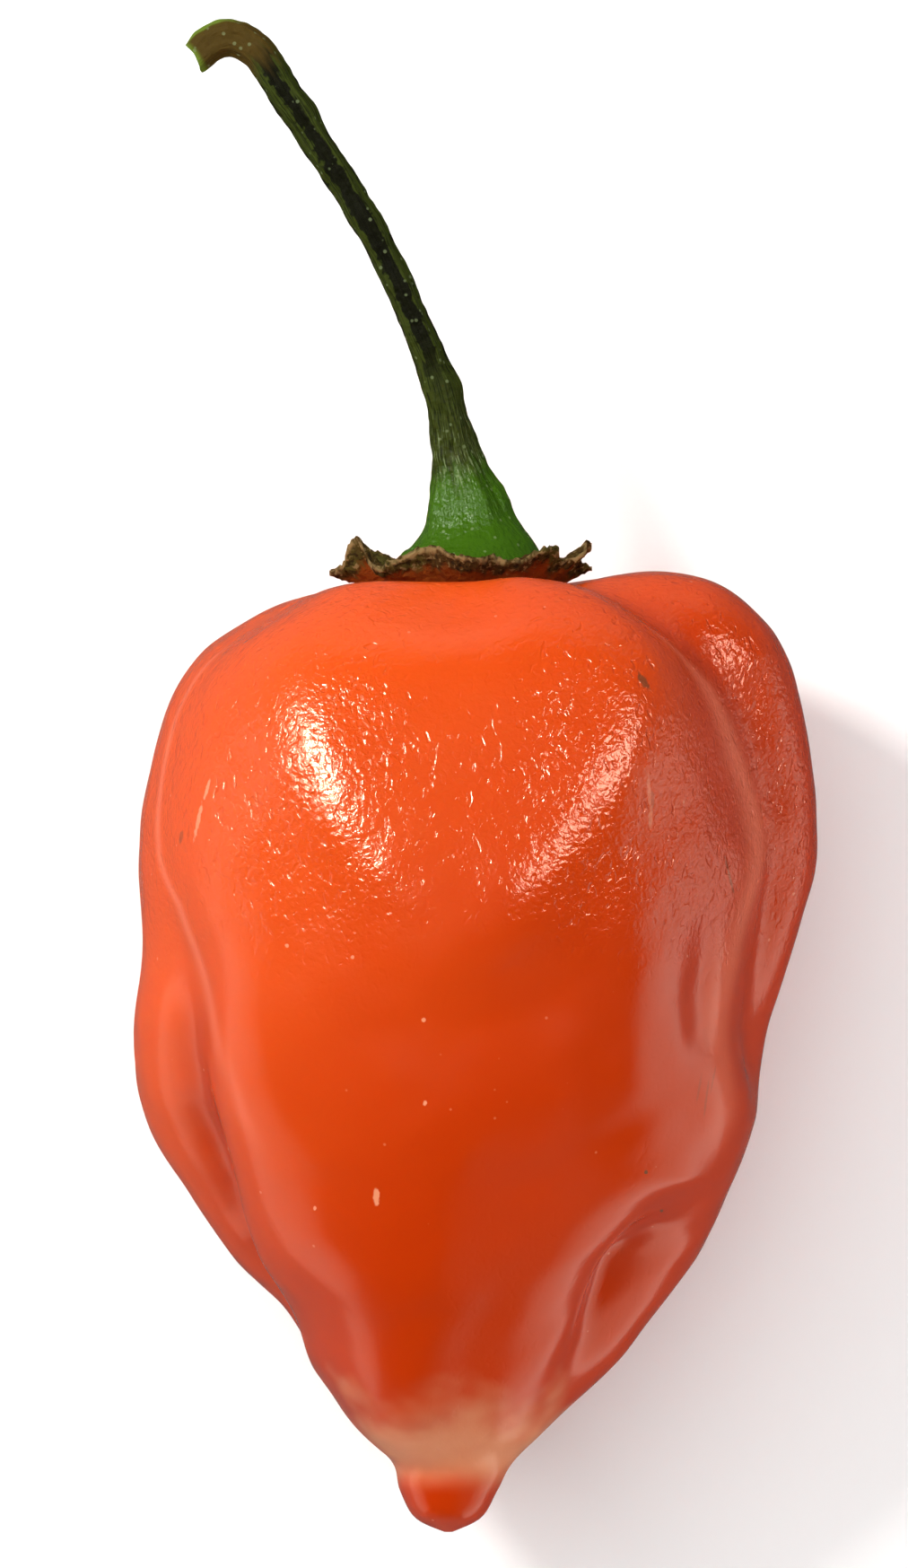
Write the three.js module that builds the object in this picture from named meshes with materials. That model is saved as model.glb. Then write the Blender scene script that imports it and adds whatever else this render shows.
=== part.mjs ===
// A ripe orange habanero chilli, lying on its side as picked. It has three pieces: the fruit, a broad
// three-lobed berry that ends in a small nipple; the dried calyx, a ragged saucer on the fruit's shoulder;
// and the stalk, which flares out of the calyx, thins, and ends in a torn hook.
//
// Units are millimetres. +Z is up, +Y runs along the fruit towards the stalk, and the origin is on the
// table, under the middle of the box round the whole chilli.
//
// The fruit is written in its own terms. "down" is the distance below the top of the shoulder, measured
// along the fruit. A bearing goes round the fruit's axis: 0 is right (+X), 90 faces up, 180 is left and
// 270 faces the table. A station counts along the points of the four outlines: 0 is under the calyx.
import * as THREE from "three";

// Driving dimensions.
const FRUIT_LENGTH = 52;
const SHOULDER_Y = 11.1; // the top of the shoulder
const SHOULDER_DIP = 1.15; // how far the calyx sits below it
const AXIS_X_TOP = -0.75; // the fruit's axis leans a little to the left on its way to the tip
const AXIS_X_TIP = -1.55;
const AXIS_DROP = 2.4; // how much lower the tip's axis is than the shoulder's
const PRESSED = 0.35; // how much of each lobe is flattened where it rests
const SECTION_POWER = 2.25; // 2 is an ellipse, and more is boxier
const CALYX_RADIUS = 6.2; // to the rim between two points of the calyx
const CALYX_FOOT = 4.0; // the radius of its flat middle, which lies on the fruit
const CALYX_SHEET = 0.65; // its thickness at the rim
const CALYX_MIDDLE = 1.5; // its thickness under the stalk
const SEAT_GAP = 0.12; // between the three pieces

const RIGHT = 0;
const UP = 1;
const LEFT = 2;
const TABLE = 3;

// The four outlines from the calyx to the tip: [distance from the axis, down]. Points of the same
// number make one ring round the fruit.
const OUTLINES = {
  [RIGHT]: [
    [0, 1.3], [4.2, 1.2], [8.9, 0.05], [13.5, 0.6], [16.6, 3.0], [18.3, 6.6], [19.1, 11.3], [19.3, 16.0],
    [18.2, 20.5], [16.9, 25.0], [16.2, 29.3], [14.9, 33.3], [13.3, 37.0], [11.3, 39.8], [8.65, 43.0],
    [5.75, 46.0], [3.5, 48.0], [2.6, 49.6], [1.7, 51.1], [0, FRUIT_LENGTH],
  ],
  [UP]: [
    [0, 1.3], [4.2, 1.2], [8.4, 0.5], [12.2, 2.3], [14.7, 4.7], [16.1, 7.8], [16.9, 11.8], [17.0, 16.1],
    [16.7, 20.5], [16.0, 25.0], [14.9, 29.3], [13.4, 33.3], [11.6, 37.0], [9.9, 39.8], [7.8, 43.0],
    [5.6, 46.0], [3.6, 48.0], [3.0, 49.6], [2.1, 51.1], [0, FRUIT_LENGTH],
  ],
  [LEFT]: [
    [0, 1.3], [4.2, 1.2], [8.0, 1.3], [11.0, 2.4], [13.9, 4.3], [15.7, 7.1], [16.9, 11.3], [17.3, 16.0],
    [17.0, 20.5], [17.4, 25.0], [16.8, 29.3], [14.8, 33.3], [12.3, 37.0], [9.4, 39.8], [7.4, 43.0],
    [5.2, 46.0], [3.1, 48.0], [2.6, 49.6], [1.8, 51.1], [0, FRUIT_LENGTH],
  ],
  [TABLE]: [
    [0, 1.3], [4.2, 1.2], [8.4, 0.9], [12.0, 1.7], [14.3, 4.0], [15.6, 7.2], [16.1, 11.4], [16.4, 16.0],
    [16.3, 20.5], [15.8, 25.0], [14.6, 29.3], [12.9, 33.3], [10.9, 37.0], [9.1, 39.8], [6.9, 43.0],
    [4.8, 46.0], [3.2, 48.0], [2.6, 49.6], [1.8, 51.1], [0, FRUIT_LENGTH],
  ],
};
const LAST_STATION = OUTLINES[RIGHT].length - 1;

// Folds are pressed into the skin, and swells, with a depth below 0, stand out of it. Each runs along
// its points: [station, bearing, depth, reach towards lower bearings, reach towards higher ones].
const FOLDS = [
  { name: "left crease", sharp: true, points: [
    [1.5, 152, 0.0, 3.0, 3.0], [4, 156, 0.5, 2.6, 2.6], [6, 158, 0.7, 2.8, 2.4], [7.3, 153, 0.9, 3.4, 2.8],
    [8.5, 149, 1.4, 4.0, 3.2], [9.5, 152, 2.1, 4.2, 3.6], [10.5, 156, 2.6, 4.0, 3.8],
    [11.5, 162, 2.5, 3.6, 3.4], [12.6, 170, 1.6, 2.8, 2.4], [13.3, 176, 0.9, 2.3, 2.1],
    [14, 182, 0.0, 2.0, 2.0],
  ] },
  { name: "right valley", sharp: false, points: [
    [1, 44, 0.0, 2.4, 3.0], [2, 40, 1.1, 2.4, 3.4], [3, 36, 1.9, 2.8, 4.0], [4.2, 29, 2.3, 3.0, 5.0],
    [5.4, 22, 2.4, 3.0, 6.5], [6.6, 17, 2.3, 3.0, 7.5], [8, 14, 1.9, 2.8, 8.0], [9, 12, 1.2, 2.8, 7.0],
    [10, 8, 0.0, 2.6, 5.0],
  ] },
  { name: "right flank", sharp: false, points: [
    [3.6, 42, 0.0, 4.6, 4.6], [5, 42, 0.5, 4.8, 4.8], [6.6, 41, 0.9, 5.0, 5.0], [8.4, 40, 1.0, 5.0, 5.0],
    [9.8, 38, 0.5, 4.6, 4.6], [10.8, 36, 0.0, 4.2, 4.2],
  ] },
  { name: "right hollow", sharp: false, points: [
    [10.8, 32, 0.0, 3.4, 3.4], [11.2, 32, 0.9, 3.5, 3.7], [11.7, 31, 2.1, 3.6, 4.0], [12.3, 30, 2.6, 3.6, 4.2],
    [13.0, 30, 2.2, 3.4, 3.9], [13.8, 30, 1.4, 3.0, 3.3], [14.6, 30, 0.5, 2.6, 2.7], [15.4, 30, 0.0, 2.2, 2.2],
  ] },
  { name: "front dip", sharp: false, points: [
    [1.2, 95, 0.0, 2.6, 2.6], [2.4, 94, 0.6, 3.2, 3.2], [3.4, 93, 0.6, 4.2, 4.2], [4.8, 91, 0.35, 4.6, 4.6],
    [6, 89, 0.1, 4.0, 4.0], [7, 88, 0.0, 3.4, 3.4],
  ] },
  { name: "front right swell", sharp: false, points: [
    [1, 60, 0.0, 4.0, 4.0], [3, 57, -0.6, 3.8, 3.8], [5, 57, -0.8, 3.6, 3.6], [6.4, 69, -0.8, 3.4, 3.4],
    [7.6, 82, -0.6, 3.4, 3.4], [8.8, 90, 0.0, 3.4, 3.4],
  ] },
  { name: "front left swell", sharp: false, points: [
    [1, 124, 0.0, 4.0, 4.0], [3, 124, -0.5, 3.8, 3.8], [5, 121, -0.7, 3.6, 3.6], [6.4, 110, -0.7, 3.4, 3.4],
    [7.6, 98, -0.4, 3.4, 3.4], [8.8, 92, 0.0, 3.4, 3.4],
  ] },
  { name: "front keel", sharp: false, points: [
    [5.6, 90, 0.0, 4.6, 4.6], [7, 90, -0.4, 4.8, 4.8], [8.6, 91, -0.45, 5.0, 5.0],
    [10.5, 97, -0.5, 4.8, 5.2], [12.5, 103, -0.8, 4.0, 4.4],
    [14.5, 113, -0.9, 3.0, 3.4], [15.6, 120, -0.4, 2.2, 2.6], [16.4, 124, 0.0, 2.0, 2.0],
  ] },
  { name: "table valley", sharp: false, points: [
    [0.8, 272, 0.0, 2.6, 2.6], [2, 271, 1.2, 3.2, 3.2], [5, 270, 2.3, 4.2, 4.2], [8, 270, 2.5, 4.2, 4.2],
    [11, 272, 1.6, 3.6, 3.6], [13.5, 275, 0.0, 3.0, 3.0],
  ] },
  { name: "left foot", sharp: false, points: [
    [2, 246, 0.0, 4.6, 4.6], [5, 246, -0.55, 5.0, 5.0], [8, 246, -0.6, 5.0, 5.0], [11, 246, -0.3, 4.6, 4.6],
    [13, 246, 0.0, 4.0, 4.0],
  ] },
  { name: "right foot", sharp: false, points: [
    [3, 296, 0.0, 4.0, 4.0], [5, 296, -0.2, 4.4, 4.4], [9, 297, -0.3, 4.4, 4.4], [12, 298, 0.0, 4.0, 4.0],
  ] },
  { name: "left lobe dent", sharp: false, points: [
    [7.6, 196, 0.0, 3.4, 3.4], [9, 204, 0.7, 3.6, 3.6], [10.6, 214, 1.0, 3.4, 3.4], [12.2, 222, 0.0, 3.0, 3.0],
  ] },
  { name: "right lobe dent", sharp: false, points: [
    [4.4, 338, 0.0, 3.2, 3.2], [6, 334, 0.6, 3.4, 3.4], [8, 336, 0.9, 3.6, 3.6], [10, 340, 0.0, 3.2, 3.2],
  ] },
];

// The stalk's middle line from the calyx to the torn end, [x, y, height over the axis], with the half
// width of the stalk there.
const STALK = [
  [-0.33, 11.7, 0.0, 3.85], [-0.33, 12.5, 0.0, 3.35], [-0.45, 13.6, 0.08, 2.55], [-0.64, 14.8, 0.2, 2.12],
  [-0.93, 16.2, 0.35, 1.6], [-1.26, 17.4, 0.5, 1.26], [-1.56, 19.0, 0.75, 1.06], [-1.95, 20.8, 0.95, 0.97],
  [-2.55, 22.6, 1.15, 0.87], [-3.65, 25.0, 1.5, 0.8], [-4.95, 27.9, 1.8, 0.79], [-6.55, 30.8, 2.0, 0.78],
  [-8.35, 33.7, 2.1, 0.8], [-10.1, 36.4, 2.1, 0.88], [-11.05, 37.9, 2.05, 0.9], [-11.9, 39.0, 1.95, 0.9],
  [-12.85, 39.68, 1.8, 0.93], [-13.75, 39.74, 1.62, 0.95], [-14.47, 39.42, 1.47, 0.95], [-15.07, 38.9, 1.3, 0.85],
];

const SKIN_ORANGE = 0xd9420f;
const CALYX_BROWN = 0x5a4a22;
const STALK_GREEN = 0x33471a;

// Smooth values between the rows of a list, whose first column gives the place.
function rowAt(rows, place, placeOf) {
  const last = rows.length - 1;
  let i = 0;
  while (i < last - 1 && place > placeOf(i + 1)) i += 1;
  const from = placeOf(i);
  const share = THREE.MathUtils.clamp((place - from) / (placeOf(i + 1) - from), 0, 1);
  const before = rows[Math.max(i - 1, 0)];
  const after = rows[Math.min(i + 2, last)];
  return rows[i].map((value, k) => catmullRom(before[k], value, rows[i + 1][k], after[k], share));
}

function catmullRom(before, from, to, after, share) {
  const slopeFrom = (to - before) / 2;
  const slopeTo = (after - from) / 2;
  const square = share * share;
  const cube = square * share;
  return (
    (2 * cube - 3 * square + 1) * from + (cube - 2 * square + share) * slopeFrom
    + (3 * square - 2 * cube) * to + (cube - square) * slopeTo
  );
}

const outlineAt = (side, station) => rowAt(OUTLINES[side], station, (i) => i);
const foldAt = (points, station) => rowAt(points, station, (i) => points[i][0]);

// The smooth fruit before its folds: distance from the axis and distance down, at a bearing in radians.
function smoothSkin(station, bearing) {
  const across = Math.cos(bearing);
  const upward = Math.sin(bearing);
  const [sideOut, sideDown] = outlineAt(across >= 0 ? RIGHT : LEFT, station);
  const [faceOut, faceDown] = outlineAt(upward >= 0 ? UP : TABLE, station);
  const sideShare = across * across;
  const down = sideShare * sideDown + (1 - sideShare) * faceDown;
  if (sideOut < 1e-9) return { out: 0, down };
  const sum = (Math.abs(across) / sideOut) ** SECTION_POWER + (Math.abs(upward) / faceOut) ** SECTION_POWER;
  return { out: sum ** (-1 / SECTION_POWER), down };
}

// How deep the skin is pressed in by all the folds together.
function foldDepth(station, bearing, out) {
  let depth = 0;
  for (const { sharp, points } of FOLDS) {
    if (station <= points[0][0] || station >= points[points.length - 1][0]) continue;
    const [, degrees, foldDeep, reachLow, reachHigh] = foldAt(points, station);
    const turn = Math.atan2(
      Math.sin(bearing - THREE.MathUtils.degToRad(degrees)),
      Math.cos(bearing - THREE.MathUtils.degToRad(degrees)),
    );
    const reaches = (turn * out) / (turn < 0 ? reachLow : reachHigh);
    depth += foldDeep * (sharp ? Math.exp(1 - Math.hypot(1, 2 * reaches)) : Math.exp(-reaches * reaches));
  }
  return depth;
}

// A point of the fruit's skin, before it is flattened where it rests. Height is over the axis at the shoulder.
function skinPoint(station, bearing) {
  const step = 0.02;
  const { out, down } = smoothSkin(station, bearing);
  const before = smoothSkin(Math.max(station - step, 0), bearing);
  const after = smoothSkin(Math.min(station + step, LAST_STATION), bearing);
  const run = Math.hypot(after.out - before.out, after.down - before.down);
  const depth = foldDepth(station, bearing, out);
  const foldedOut = out - (depth * (after.down - before.down)) / run;
  const foldedDown = down + (depth * (after.out - before.out)) / run;
  const along = foldedDown / FRUIT_LENGTH;
  return new THREE.Vector3(
    THREE.MathUtils.lerp(AXIS_X_TOP, AXIS_X_TIP, along) + foldedOut * Math.cos(bearing),
    SHOULDER_Y - foldedDown,
    -AXIS_DROP * along + foldedOut * Math.sin(bearing),
  );
}

// A closed mesh: a first point, rings of equally many points, and a last point.
function closedLoft(first, rings, last) {
  const around = rings[0].length;
  const positions = [first, ...rings.flat(), last].flatMap((p) => [p.x, p.y, p.z]);
  const faces = [];
  const at = (ring, i) => 1 + ring * around + (i % around);
  const end = 1 + rings.length * around;
  for (let i = 0; i < around; i += 1) {
    faces.push(0, at(0, i), at(0, i + 1));
    for (let ring = 0; ring < rings.length - 1; ring += 1) {
      faces.push(at(ring, i), at(ring + 1, i), at(ring + 1, i + 1));
      faces.push(at(ring, i), at(ring + 1, i + 1), at(ring, i + 1));
    }
    faces.push(end, at(rings.length - 1, i + 1), at(rings.length - 1, i));
  }
  const geometry = new THREE.BufferGeometry();
  geometry.setAttribute("position", new THREE.Float32BufferAttribute(positions, 3));
  geometry.setIndex(faces);
  geometry.computeVertexNormals();
  return geometry;
}

const FRUIT_AROUND = 96;
const FRUIT_STATIONS = [
  0.25, 0.6, 1, 1.4, 1.8, 2.2, 2.6, 3, 3.35, 3.7, 4.05, 4.4, 4.7, 5, 5.3, 5.6, 5.9, 6.2, 6.5, 6.8, 7.1, 7.4, 7.7,
  8, 8.3, 8.6, 8.9, 9.2, 9.5, 9.8, 10.1, 10.4, 10.7, 11, 11.3, 11.6, 11.9, 12.2, 12.5, 12.8, 13.1, 13.4,
  13.75, 14.1, 14.5, 14.9, 15.3, 15.7, 16.1, 16.5, 17, 17.5, 18, 18.4, 18.75,
];

// The whole skin, and the height of the axis over the table that presses the lobes flat by the right amount.
function fruitRings() {
  const bearings = Array.from({ length: FRUIT_AROUND }, (_, i) => (2 * Math.PI * i) / FRUIT_AROUND);
  const rings = FRUIT_STATIONS.map((station) => bearings.map((bearing) => skinPoint(station, bearing)));
  const lowest = Math.min(...rings.flat().map((p) => p.z));
  return { rings, axisHeight: -lowest - PRESSED };
}

function fruitGeometry(rings, axisHeight) {
  const rest = (p) => new THREE.Vector3(p.x, p.y, Math.max(p.z + axisHeight, 0));
  const poles = [skinPoint(0, 0), skinPoint(LAST_STATION, 0)].map(rest);
  return closedLoft(poles[1], rings.map((ring) => ring.map(rest)).reverse(), poles[0]);
}

// The points of the calyx: [bearing, how far the point reaches past the rim, how far it curls up, half width].
const CALYX_POINTS = [
  [-9, 0.9, -0.1, 7], [14, 0.7, 1.05, 9], [41, 0.1, 1.15, 12], [76, 0, 0.4, 10], [106, 0.1, 0.7, 20],
  [160, -0.1, 1.45, 6], [184, 1.15, -0.15, 7], [222, 0.4, 0.75, 15], [258, 0.7, 0.3, 10],
  [288, 0.9, 0.9, 12], [326, 0.3, 0.4, 12],
];
const CALYX_AROUND = 144;
const CALYX_SHARES = [0.2, 0.45, 0.62, 0.76, 0.88, 1];
const CALYX_LIFT = 1.25; // how high its rim stands over its foot
const CALYX_FLARE = 1.15; // 1 is a straight cone, and more turns up towards the rim

// How far a calyx point stands out at a bearing in degrees: 1 on the point, 0 away from it.
function pointShare(bearing, centre, halfWidth) {
  const turn = THREE.MathUtils.euclideanModulo(bearing - centre + 180, 360) - 180;
  return Math.exp(-((turn / halfWidth) ** 2));
}

// The calyx's upper or lower face at a bearing in degrees and a share of the way from its middle to its rim.
function calyxPoint(bearing, share, upper, seatY, axisHeight) {
  let reach = CALYX_RADIUS + 0.18 * Math.sin(THREE.MathUtils.degToRad(9 * bearing));
  let curl = CALYX_LIFT + 0.16 * Math.sin(THREE.MathUtils.degToRad(7 * bearing + 40));
  for (const [centre, past, up, halfWidth] of CALYX_POINTS) {
    const here = pointShare(bearing, centre, halfWidth);
    reach += past * here;
    curl += up * here;
  }
  const out = share * reach;
  const flare = THREE.MathUtils.clamp((out - CALYX_FOOT) / (reach - CALYX_FOOT), 0, 1);
  const middle = CALYX_MIDDLE - CALYX_SHEET;
  const rise = upper ? CALYX_SHEET + middle * (1 - THREE.MathUtils.smoothstep(out, 3.2, CALYX_FOOT + 0.6)) : 0;
  const angle = THREE.MathUtils.degToRad(bearing);
  return new THREE.Vector3(
    AXIS_X_TOP + out * Math.cos(angle),
    seatY + curl * flare ** CALYX_FLARE + rise,
    axisHeight + out * Math.sin(angle),
  );
}

function calyxGeometry(seatY, axisHeight) {
  const bearings = Array.from({ length: CALYX_AROUND }, (_, i) => (360 * i) / CALYX_AROUND);
  const face = (upper) => CALYX_SHARES.map((share) =>
    bearings.map((bearing) => calyxPoint(bearing, share, upper, seatY, axisHeight)));
  const first = calyxPoint(0, 0, false, seatY, axisHeight);
  const last = calyxPoint(0, 0, true, seatY, axisHeight);
  return closedLoft(first, [...face(false), ...face(true).reverse()], last);
}

const STALK_AROUND = 20;
const STALK_RINGS = 58;
const STALK_RIBS = 5;
const RIB_HEIGHT = 0.09; // as a share of the stalk's half width
const TORN_NOTCH = 0.3; // how far the two torn prongs stand past the notch between them
const TORN_SKEW = 0.15; // how much longer than that the lower prong is

// The stalk is a ribbed rod along its middle line. Its torn end is notched, with one prong above the other.
function stalkGeometry(footY, axisHeight) {
  const middles = STALK.map(([x, y, height]) => new THREE.Vector3(x, y, height + axisHeight));
  middles[0].y = footY;
  const line = new THREE.CatmullRomCurve3(middles, false, "centripetal");
  const frames = line.computeFrenetFrames(STALK_RINGS, false);
  const rings = [];
  for (let ring = 0; ring <= STALK_RINGS; ring += 1) {
    const share = ring / STALK_RINGS;
    const centre = line.getPoint(line.getUtoTmapping(share));
    const place = line.getUtoTmapping(share) * (STALK.length - 1);
    const halfWidth = rowAt(STALK, place, (i) => i)[3];
    const tangent = frames.tangents[ring];
    const above = new THREE.Vector3(0, 0, 1).addScaledVector(tangent, -tangent.z).normalize();
    const across = new THREE.Vector3().crossVectors(tangent, above);
    const ribbed = RIB_HEIGHT * THREE.MathUtils.smoothstep(share, 0.04, 0.2);
    const torn = THREE.MathUtils.smoothstep(share, 0.94, 1);
    rings.push(Array.from({ length: STALK_AROUND }, (_, i) => {
      const angle = (2 * Math.PI * i) / STALK_AROUND;
      const radius = halfWidth * (1 + ribbed * Math.cos(STALK_RIBS * angle + 2 * share));
      const reach = TORN_NOTCH * Math.cos(angle) ** 2 - TORN_SKEW * Math.cos(angle);
      return centre.clone()
        .addScaledVector(across, radius * Math.cos(angle))
        .addScaledVector(above, radius * Math.sin(angle))
        .addScaledVector(tangent, torn * reach);
    }));
  }
  return closedLoft(middles[0], rings, line.getPoint(1));
}

function piece(name, geometry, color, roughness) {
  const mesh = new THREE.Mesh(geometry, new THREE.MeshStandardMaterial({ color, roughness, metalness: 0 }));
  mesh.name = name;
  return mesh;
}

const { rings, axisHeight } = fruitRings();
const calyxSeatY = SHOULDER_Y - SHOULDER_DIP + SEAT_GAP;
const stalkFootY = calyxSeatY + CALYX_MIDDLE + SEAT_GAP;

const chilli = new THREE.Group();
chilli.add(piece("fruit", fruitGeometry(rings, axisHeight), SKIN_ORANGE, 0.3));
chilli.add(piece("calyx", calyxGeometry(calyxSeatY, axisHeight), CALYX_BROWN, 0.8));
chilli.add(piece("stalk", stalkGeometry(stalkFootY, axisHeight), STALK_GREEN, 0.45));

export default chilli;
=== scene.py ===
"""A ripe orange habanero chilli lying on its side on a pale table, seen from straight above.

The fruit, the dried calyx and the stalk follow the same outlines, folds and middle line as the solids that
they replace, at a finer step, with the dents, wrinkles, ribs and ragged edges that the solids leave out.
Shapes are worked out in millimetres and become metres when a mesh is made. +Y runs towards the stalk and
+Z is up. On the fruit, "down" is the distance below its shoulder, a bearing goes round its axis (0 is
right, 90 is up), and a station counts along the points of its outlines from the calyx to the tip.
"""
import logging
import math
from dataclasses import dataclass
from enum import Enum

import bpy
import numpy as np
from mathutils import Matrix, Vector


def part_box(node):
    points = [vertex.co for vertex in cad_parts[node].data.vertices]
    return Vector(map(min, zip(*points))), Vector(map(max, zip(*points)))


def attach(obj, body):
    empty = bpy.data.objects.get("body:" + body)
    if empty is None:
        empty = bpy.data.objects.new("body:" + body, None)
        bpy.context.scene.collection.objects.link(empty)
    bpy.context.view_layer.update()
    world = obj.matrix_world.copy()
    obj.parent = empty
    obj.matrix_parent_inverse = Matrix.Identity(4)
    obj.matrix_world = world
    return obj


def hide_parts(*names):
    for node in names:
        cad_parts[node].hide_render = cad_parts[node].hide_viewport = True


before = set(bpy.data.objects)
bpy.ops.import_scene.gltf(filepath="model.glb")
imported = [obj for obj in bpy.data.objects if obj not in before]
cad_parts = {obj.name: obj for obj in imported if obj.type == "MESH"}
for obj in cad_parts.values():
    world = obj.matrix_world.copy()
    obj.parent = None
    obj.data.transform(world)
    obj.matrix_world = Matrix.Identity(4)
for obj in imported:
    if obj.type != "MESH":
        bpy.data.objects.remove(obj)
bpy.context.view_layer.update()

MM = 0.001
LOG = logging.getLogger("chilli")

Row = tuple[float, ...]
Colour = tuple[float, float, float]
Socket = bpy.types.NodeSocket
Number = Socket | float


class Side(Enum):
    """The four outlines of the fruit."""

    RIGHT = 0
    UP = 1
    LEFT = 2
    TABLE = 3


class FoldForm(Enum):
    """How a fold's floor looks in section."""

    ROUND = "round"
    SHARP = "sharp"


class LampRole(Enum):
    """What a lamp is there for."""

    LIGHTS = "lights"
    SHOWS_IN_GLOSS = "shows in gloss"


FRUIT_LENGTH = 52.0
OUTLINES: dict[Side, list[Row]] = {
    Side.RIGHT: [
        (0, 1.3), (4.2, 1.2), (8.9, 0.05), (13.5, 0.6), (16.6, 3.0), (18.3, 6.6), (19.1, 11.3), (19.3, 16.0),
        (18.2, 20.5), (16.9, 25.0), (16.2, 29.3), (14.9, 33.3), (13.3, 37.0), (11.3, 39.8), (8.65, 43.0),
        (5.75, 46.0), (3.5, 48.0), (2.6, 49.6), (1.7, 51.1), (0, FRUIT_LENGTH),
    ],
    Side.UP: [
        (0, 1.3), (4.2, 1.2), (8.4, 0.5), (12.2, 2.3), (14.7, 4.7), (16.1, 7.8), (16.9, 11.8), (17.0, 16.1),
        (16.7, 20.5), (16.0, 25.0), (14.9, 29.3), (13.4, 33.3), (11.6, 37.0), (9.9, 39.8), (7.8, 43.0),
        (5.6, 46.0), (3.6, 48.0), (3.0, 49.6), (2.1, 51.1), (0, FRUIT_LENGTH),
    ],
    Side.LEFT: [
        (0, 1.3), (4.2, 1.2), (8.0, 1.3), (11.0, 2.4), (13.9, 4.3), (15.7, 7.1), (16.9, 11.3), (17.3, 16.0),
        (17.0, 20.5), (17.4, 25.0), (16.8, 29.3), (14.8, 33.3), (12.3, 37.0), (9.4, 39.8), (7.4, 43.0),
        (5.2, 46.0), (3.1, 48.0), (2.6, 49.6), (1.8, 51.1), (0, FRUIT_LENGTH),
    ],
    Side.TABLE: [
        (0, 1.3), (4.2, 1.2), (8.4, 0.9), (12.0, 1.7), (14.3, 4.0), (15.6, 7.2), (16.1, 11.4), (16.4, 16.0),
        (16.3, 20.5), (15.8, 25.0), (14.6, 29.3), (12.9, 33.3), (10.9, 37.0), (9.1, 39.8), (6.9, 43.0),
        (4.8, 46.0), (3.2, 48.0), (2.6, 49.6), (1.8, 51.1), (0, FRUIT_LENGTH),
    ],
}
LAST_STATION = len(OUTLINES[Side.RIGHT]) - 1


@dataclass(frozen=True)
class Fold:
    """A fold pressed into the skin, or a swell where its depth is below 0.

    Each point is (station, bearing, depth, reach towards lower bearings, reach towards higher ones).
    """

    name: str
    form: FoldForm
    points: tuple[Row, ...]


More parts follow.
